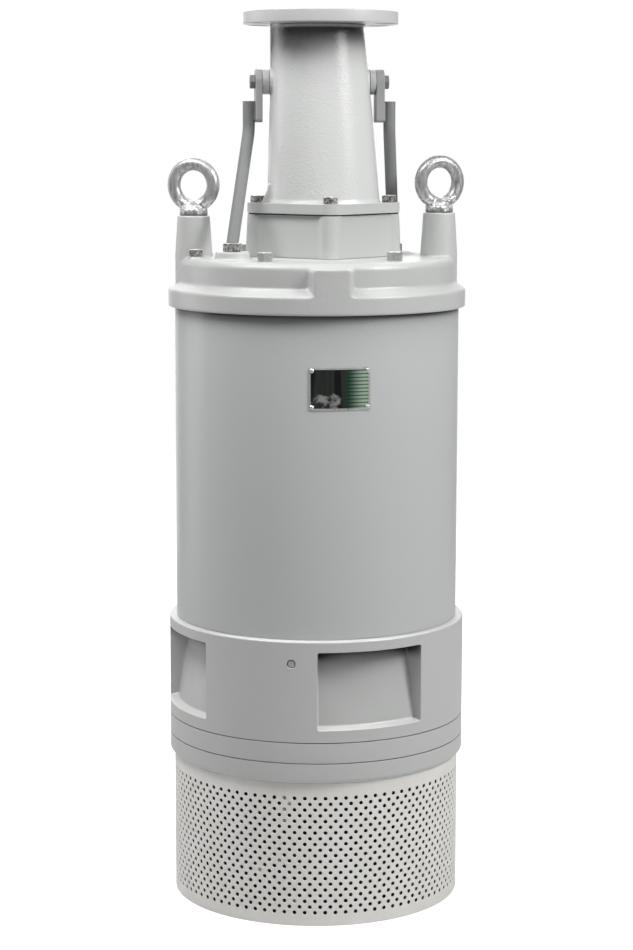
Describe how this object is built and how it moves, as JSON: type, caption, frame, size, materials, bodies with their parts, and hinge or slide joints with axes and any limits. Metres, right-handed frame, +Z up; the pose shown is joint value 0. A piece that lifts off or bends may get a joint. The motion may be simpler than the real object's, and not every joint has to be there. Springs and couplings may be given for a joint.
{
  "type": "submersible drainage pump",
  "caption": "Slim upright submersible drainage pump: perforated suction strainer, pocketed casing, motor sleeve, cover with lifting eyes, tapered discharge neck with flange and side stays.",
  "frame": {"origin": "centre of the strainer's underside, where the pump stands", "axes": "+Z up along the pump's axis, -Y towards the front tab of the cover and the nameplate, lifting eyes at -X and +X"},
  "size_m": [0.5464, 0.5464, 1.624],
  "materials": {
    "cast_paint": "satin light grey enamel over a fine cast surface",
    "paint": "satin light grey enamel on smooth plate",
    "stainless_sheet": "dull perforated stainless sheet",
    "bolt_steel": "worn plain steel",
    "stay_steel": "dark smooth steel",
    "galvanised": "bright galvanised forging",
    "nameplate": "polished blank plate that mirrors a dark room",
    "rubber": "black sheet gasket"
  },
  "bodies": {
    "root": {"strainer_bottom": "stainless_sheet", "strainer_shell": "stainless_sheet", "suction_cover": "cast_paint", "diffuser_ring": "cast_paint", "pump_casing": "cast_paint", "casing_plug": "bolt_steel", "motor_sleeve": "paint", "nameplate": "nameplate", "top_cover": "cast_paint", "cover_bolt_1": "bolt_steel", "cover_bolt_2": "bolt_steel", "cover_bolt_3": "bolt_steel", "cover_bolt_4": "bolt_steel", "edge_bolt_1": "bolt_steel", "edge_bolt_2": "bolt_steel", "lifting_eye_left": "galvanised", "lifting_eye_right": "galvanised", "discharge_riser": "cast_paint", "discharge_gasket": "rubber", "discharge_neck": "cast_paint", "neck_bolt_1": "bolt_steel", "neck_bolt_2": "bolt_steel", "neck_bolt_3": "bolt_steel", "neck_bolt_4": "bolt_steel", "stay_spacer_left": "cast_paint", "stay_spacer_right": "cast_paint", "stay_plate_left": "stay_steel", "stay_plate_right": "stay_steel", "stay_bolt_left": "bolt_steel", "stay_bolt_right": "bolt_steel", "stay_rod_left": "stay_steel", "stay_rod_right": "stay_steel", "stay_nut_left": "bolt_steel", "stay_nut_right": "bolt_steel", "cable_gland_body": "cast_paint", "cable_gland_nut": "cast_paint"}
  },
  "joints": []
}
